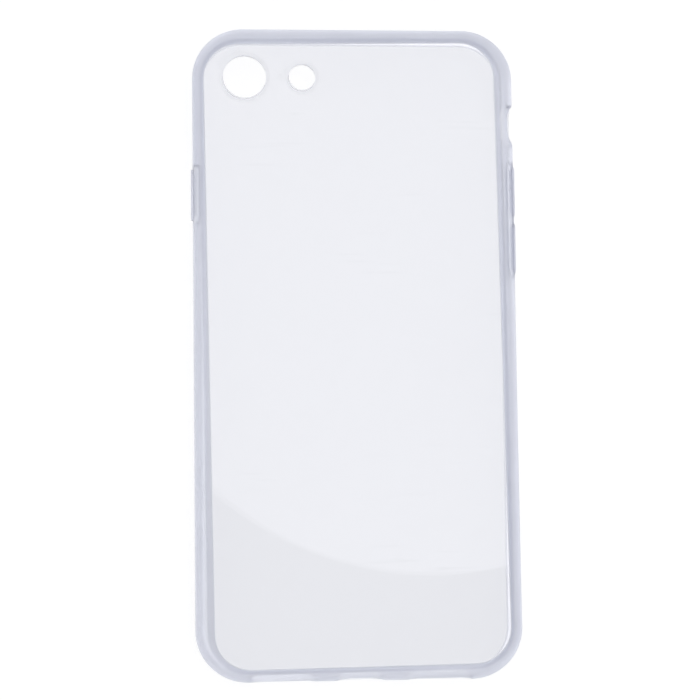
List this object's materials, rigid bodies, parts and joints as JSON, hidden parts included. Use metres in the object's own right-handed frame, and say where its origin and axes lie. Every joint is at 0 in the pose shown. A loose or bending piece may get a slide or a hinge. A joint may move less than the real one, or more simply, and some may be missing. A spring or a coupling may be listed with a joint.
{
  "type": "phone case",
  "caption": "Clear flexible case for a slab phone: a flat clear back in a raised soft frame, with lens and flash holes, side cutout, foot openings and press-through button pads.",
  "frame": {"origin": "middle of the plane of the front lip that the case lies on, under the centre of its outline", "axes": "+X towards the side of the mute cutout and the volume pads, +Y towards the end with the lens hole, +Z out of the back"},
  "size_m": [0.0706, 0.141, 0.0097],
  "materials": {
    "clear_plate": "polished",
    "clear_elastomer": "gloss"
  },
  "bodies": {
    "case_shell": {"back_panel": "clear_plate", "bumper_frame": "clear_elastomer", "power_button_web": "clear_elastomer", "volume_button_web": "clear_elastomer"},
    "power_pad": {"power_button": "clear_elastomer"},
    "volume_up_pad": {"volume_up_button": "clear_elastomer"},
    "volume_down_pad": {"volume_down_button": "clear_elastomer"}
  },
  "joints": [
    {"name": "power_press", "type": "slide", "parent": "case_shell", "child": "power_pad", "axis": [1, 0, 0], "range_m": [0, 0.0005], "stiffness_N_per_m": 3000},
    {"name": "volume_up_press", "type": "slide", "parent": "case_shell", "child": "volume_up_pad", "axis": [-1, 0, 0], "range_m": [0, 0.0005], "stiffness_N_per_m": 3000},
    {"name": "volume_down_press", "type": "slide", "parent": "case_shell", "child": "volume_down_pad", "axis": [-1, 0, 0], "range_m": [0, 0.0005], "stiffness_N_per_m": 3000}
  ]
}
